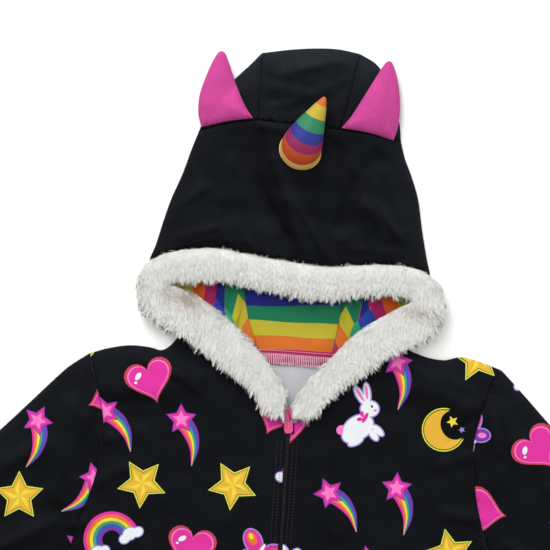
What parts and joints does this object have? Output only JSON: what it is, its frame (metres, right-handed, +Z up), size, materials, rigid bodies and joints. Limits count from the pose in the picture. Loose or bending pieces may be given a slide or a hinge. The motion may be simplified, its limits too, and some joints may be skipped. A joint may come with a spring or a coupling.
{
  "type": "hooded onesie",
  "caption": "Child's zip-front fleece onesie laid flat, with a fur-edged hood that carries felt ears and a stuffed horn.",
  "frame": {"origin": "middle of the laid garment's outline, on the surface that it lies on", "axes": "+Y from the ankles to the hood, +Z up from the surface out of the garment's front, +X to the viewer's right"},
  "size_m": [1.0902, 1.4882, 0.0464],
  "materials": {
    "black_fleece": "brushed printed fleece, matt",
    "rainbow_lining": "striped jersey, matt",
    "white_fur": "curly pile fur",
    "pink_fleece": "plain fleece, matt",
    "rainbow_satin": "striped jersey, stuffed",
    "black_tape": "woven tape and nylon coil",
    "pink_enamel": "glossy enamel"
  },
  "bodies": {
    "garment": {"back_body": "black_fleece", "back_leg_left": "black_fleece", "back_leg_right": "black_fleece", "front_left": "black_fleece", "front_right": "black_fleece", "sleeve_left": "black_fleece", "sleeve_right": "black_fleece", "hood_front": "black_fleece", "hood_centre": "black_fleece", "hood_side_left": "black_fleece", "hood_side_right": "black_fleece", "lining_left": "rainbow_lining", "lining_centre": "rainbow_lining", "lining_right": "rainbow_lining", "fur_trim": "white_fur", "ear_left": "pink_fleece", "ear_right": "pink_fleece", "horn": "rainbow_satin", "zip_chain": "black_tape", "zip_slider": "pink_enamel"},
    "zip_pull": {"zip_pull": "pink_enamel"}
  },
  "joints": [
    {"name": "zip_pull_hinge", "type": "hinge", "parent": "garment", "child": "zip_pull", "pos_m": [0.0155, 0.3668, 0.0067], "axis": [1, 0, 0], "range_deg": [0, 175]}
  ]
}
